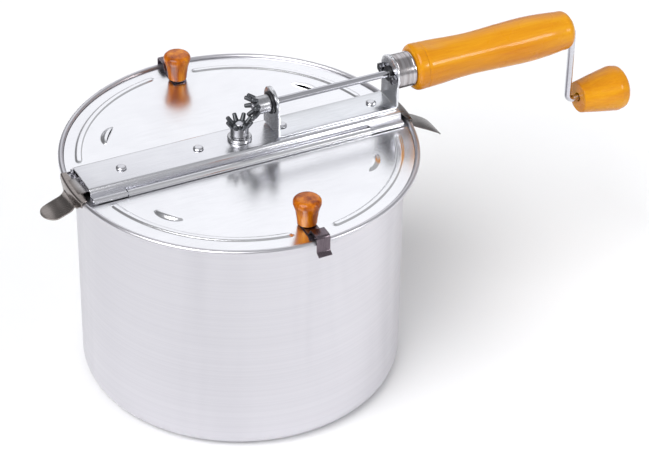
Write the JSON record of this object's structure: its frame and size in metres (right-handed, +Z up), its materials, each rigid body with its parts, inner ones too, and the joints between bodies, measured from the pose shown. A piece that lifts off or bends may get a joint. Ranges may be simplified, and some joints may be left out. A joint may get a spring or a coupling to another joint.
{
  "type": "stovetop popcorn maker",
  "caption": "Stovetop popcorn pot with a hinged two-leaf lid on a bridge, and a geared hand crank through its wooden handle that turns a stirrer.",
  "frame": {"origin": "centre of the pot's flat underside, on the stirrer's axis", "axes": "+Z up along the pot's axis; +X along the bridge towards the handle and crank; the front lid leaf is at -Y"},
  "size_m": [0.4435, 0.2514, 0.2152],
  "materials": {
    "spun_aluminium": "satin, fine turned lines",
    "lid_sheet": "bright satin sheet",
    "bridge_steel": "satin steel sheet",
    "plated_wire": "bright drawn wire",
    "fastener_steel": "plated",
    "cast_grey": "die-cast, dull plated",
    "black_bush": "satin black",
    "chrome_cup": "polished",
    "pale_wood": "orange-yellow gloss lacquer",
    "amber_wood": "amber-brown gloss lacquer",
    "clip_steel": "dark spring steel",
    "spring_steel": "warm grey spring steel"
  },
  "bodies": {
    "pot": {"pot": "spun_aluminium"},
    "lid_frame": {"bridge": "bridge_steel", "bearing_plate": "bridge_steel", "gear_bracket": "bridge_steel", "rivet_left_outer": "fastener_steel", "rivet_left_inner": "fastener_steel", "rivet_bracket_front": "fastener_steel", "rivet_bracket_rear": "fastener_steel", "front_hinge_rod": "plated_wire", "rear_hinge_rod": "plated_wire", "shaft_bush": "cast_grey", "shaft_bush_nut": "fastener_steel", "front_crank_bush": "black_bush", "rear_crank_bush": "black_bush", "ferrule": "chrome_cup", "ferrule_bolt_front": "fastener_steel", "ferrule_bolt_rear": "fastener_steel", "handle": "pale_wood"},
    "front_leaf": {"front_lid": "lid_sheet", "front_lid_knob": "amber_wood", "front_lid_screw": "fastener_steel"},
    "rear_leaf": {"rear_lid": "lid_sheet", "rear_lid_knob": "amber_wood", "rear_lid_screw": "fastener_steel"},
    "front_clip": {"front_lid_clip": "clip_steel"},
    "rear_clip": {"rear_lid_clip": "clip_steel"},
    "left_latch": {"left_latch": "spring_steel"},
    "right_latch": {"right_latch": "spring_steel"},
    "crank": {"crank_rod": "plated_wire", "drive_gear": "cast_grey", "drive_gear_pin": "fastener_steel"},
    "crank_knob": {"crank_knob": "pale_wood"},
    "stirrer": {"driven_gear": "cast_grey", "driven_gear_pin": "fastener_steel", "stir_shaft": "plated_wire", "stir_wire_long": "plated_wire", "stir_wire_short": "plated_wire", "shaft_washer": "fastener_steel"}
  },
  "joints": [
    {"name": "lid_lift", "type": "slide", "parent": "pot", "child": "lid_frame", "axis": [0, 0, 1], "range_m": [0, 0.19]},
    {"name": "front_lid_hinge", "type": "hinge", "parent": "lid_frame", "child": "front_leaf", "pos_m": [0, -0.019, 0.1691], "axis": [-1, 0, 0], "range_deg": [0, 85]},
    {"name": "rear_lid_hinge", "type": "hinge", "parent": "lid_frame", "child": "rear_leaf", "pos_m": [0, 0.019, 0.1691], "axis": [1, 0, 0], "range_deg": [0, 85]},
    {"name": "front_clip_flex", "type": "hinge", "parent": "front_leaf", "child": "front_clip", "pos_m": [0.003, -0.098, 0.169], "axis": [-1, 0, 0], "range_deg": [0, 3], "stiffness_Nm_per_rad": 2},
    {"name": "rear_clip_flex", "type": "hinge", "parent": "rear_leaf", "child": "rear_clip", "pos_m": [-0.003, 0.098, 0.169], "axis": [1, 0, 0], "range_deg": [0, 3], "stiffness_Nm_per_rad": 2},
    {"name": "left_latch_flex", "type": "hinge", "parent": "lid_frame", "child": "left_latch", "pos_m": [-0.085, 0, 0.1742], "axis": [0, 1, 0], "range_deg": [0, 5], "stiffness_Nm_per_rad": 4},
    {"name": "right_latch_flex", "type": "hinge", "parent": "lid_frame", "child": "right_latch", "pos_m": [0.098, 0, 0.1742], "axis": [0, -1, 0], "range_deg": [0, 5], "stiffness_Nm_per_rad": 4},
    {"name": "crank_spin", "type": "hinge", "parent": "lid_frame", "child": "crank", "pos_m": [0.1, 0, 0.199], "axis": [1, 0, 0], "continuous": true},
    {"name": "crank_knob_spin", "type": "hinge", "parent": "crank", "child": "crank_knob", "pos_m": [0.28, 0, 0.1395], "axis": [1, 0, 0], "continuous": true},
    {"name": "stir_spin", "type": "hinge", "parent": "lid_frame", "child": "stirrer", "pos_m": [0, 0, 0.1], "axis": [0, 0, 1], "continuous": true}
  ],
  "couplings": [
    {"joint": "stir_spin", "follows": "crank_spin", "ratio": 1}
  ]
}
